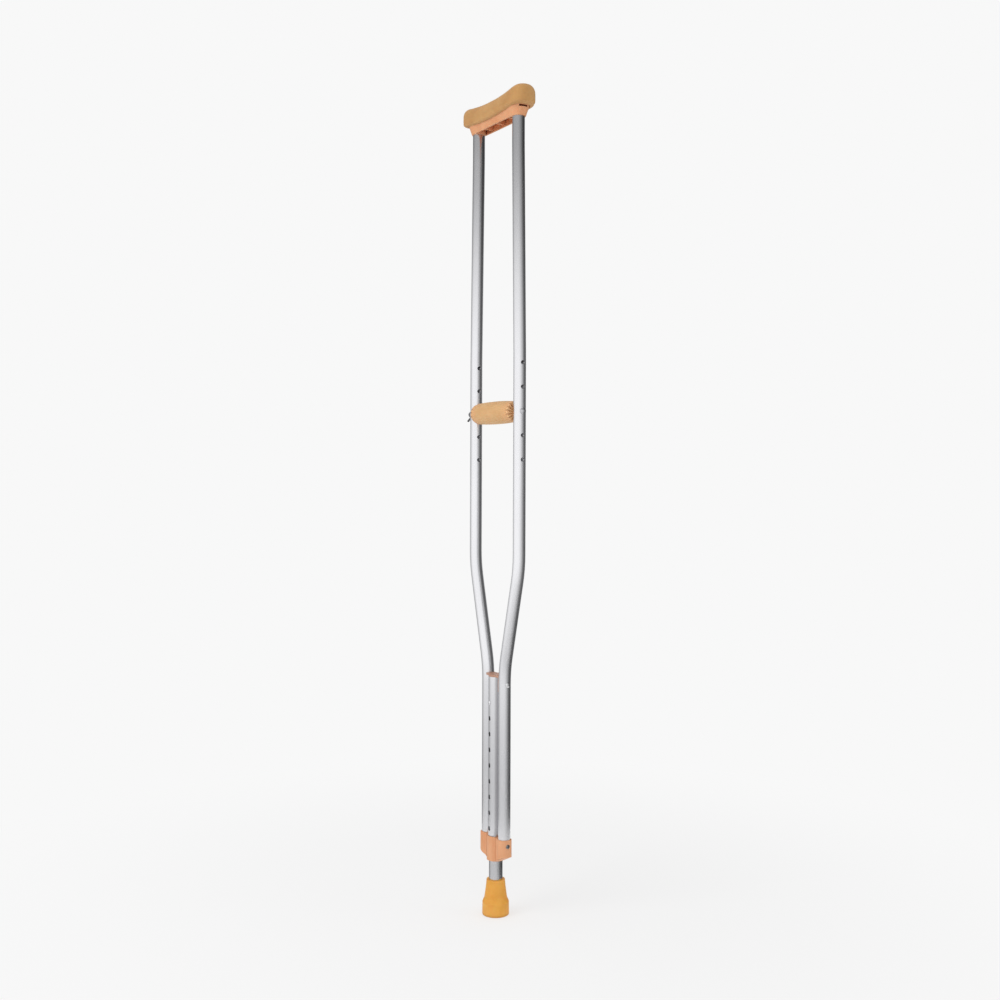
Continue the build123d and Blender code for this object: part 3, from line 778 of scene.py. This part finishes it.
# The stage: a pale floor that fades into an even pale background, soft light from the left and
# above, and two rings round the crutch that only reflections see. They are bright on the camera's
# side and level with it, and darker to the right, behind, above and below.
background = paint(248, 248, 248)
deselect()
bpy.ops.mesh.primitive_circle_add(vertices=96, radius=3.0, fill_type="NGON")
floor = bpy.context.object
floor.name = "studio_floor"
ground = Finish("pale_floor", Roughness=0.9, Specular_IOR_Level=0.1)
ground.give(
    Base_Color=ground.mix(ground.noise(3), (0.93, 0.93, 0.93, 1), (0.945, 0.945, 0.945, 1))
)
away = (ground.x * ground.x + ground.y * ground.y) ** 0.5
glow = ground.node("ShaderNodeEmission", {}, background, 1.0)
lit = Wire(ground, ground.shader.outputs[0])
share = 0.65 + 0.35 * away.between(0.2, 1.1)
shade = ground.node("ShaderNodeMixShader", {}, share, lit, glow)
ground.tree.links.new(shade.socket, ground.tree.nodes["Material Output"].inputs["Surface"])
floor.data.materials.append(ground.material)

world = bpy.context.scene.world or bpy.data.worlds.new("studio")
bpy.context.scene.world = world
world.use_nodes = True
sky = world.node_tree
sky.nodes.clear()
rays = sky.nodes.new("ShaderNodeLightPath")
seen = None
for kind in ("Is Camera Ray", "Is Glossy Ray", "Is Transmission Ray"):
    most = sky.nodes.new("ShaderNodeMath")
    most.operation = "MAXIMUM"
    sky.links.new(rays.outputs[kind], most.inputs[0])
    if seen:
        sky.links.new(seen.outputs[0], most.inputs[1])
    seen = most
shown = sky.nodes.new("ShaderNodeBackground")
shown.inputs["Color"].default_value = background
fill = sky.nodes.new("ShaderNodeBackground")
fill.inputs["Color"].default_value = (1, 1, 1, 1)
fill.inputs["Strength"].default_value = 0.46
choice = sky.nodes.new("ShaderNodeMixShader")
sky.links.new(seen.outputs[0], choice.inputs[0])
sky.links.new(fill.outputs[0], choice.inputs[1])
sky.links.new(shown.outputs[0], choice.inputs[2])
sky_output = sky.nodes.new("ShaderNodeOutputWorld")
sky.links.new(choice.outputs[0], sky_output.inputs["Surface"])

# Lamps, each at a turn from the camera's side that is positive to the right in the picture
for name, turn, distance, height, size, power in (
    ("key_light", radians(-55), 2.2, 2.0, 1.6, 22),
    ("fill_light", radians(10), 2.8, 2.6, 1.4, 8),
    ("side_light", radians(75), 2.4, 1.0, 1.2, 4),
):
    angle = view_turn - pi / 2 + turn
    spot = Vector((distance * cos(angle), distance * sin(angle), height))
    deselect()
    bpy.ops.object.light_add(type="AREA", location=spot)
    lamp = bpy.context.object
    lamp.name = name
    lamp.data.size = size
    lamp.data.energy = power
    lamp.rotation_euler = (Vector((0, 0, 0.65)) - spot).to_track_quat("-Z", "Y").to_euler()
    lamp.visible_camera = lamp.visible_glossy = False

# The reflected rings, the small one low down for the leg's foot
# The rings' glow is painted light and shade that the tubes show as reflections
ring_glow = Finish(
    "reflection_ring_glow", Base_Color=(0, 0, 0, 1), Emission_Strength=1.05, Specular_IOR_Level=0.0
)
to_camera = ring_glow.x * sin(view_turn) - ring_glow.y * cos(view_turn)
to_right = ring_glow.x * cos(view_turn) + ring_glow.y * sin(view_turn)
rightwards = to_right.turned_from(to_camera)
leftwards = 0 - rightwards
right_side = 1 - 0.9 * rightwards.between(-0.2, 1.6) + 0.6 * rightwards.between(2.1, 3.0)
left_side = 1 - 0.6 * leftwards.between(1.3, 2.6) + 0.3 * leftwards.between(2.6, 3.1)
sideways = right_side * left_side
upwards = (1 - 0.62 * ring_glow.z.between(0.93, 1.42)) * (0.55 + 0.45 * ring_glow.z.between(0.0, 0.5))
ring_glow.give(Emission_Color=ring_glow.mix(sideways * upwards, (0, 0, 0, 1), (1, 1, 1, 1)))
above_floor = 0.002
for name, radius, height in (("tall_ring", 0.5, 1.9), ("low_ring", 0.15, 0.058)):
    deselect()
    bpy.ops.mesh.primitive_cylinder_add(
        vertices=96, radius=radius, depth=height, end_fill_type="NOTHING",
        location=(0, 0, height / 2 + above_floor),
    )
    ring = bpy.context.object
    ring.name = name
    settle(ring)
    ring.data.materials.append(ring_glow.material)
    ring.visible_camera = ring.visible_shadow = ring.visible_diffuse = False
    ring.visible_transmission = ring.visible_volume_scatter = False
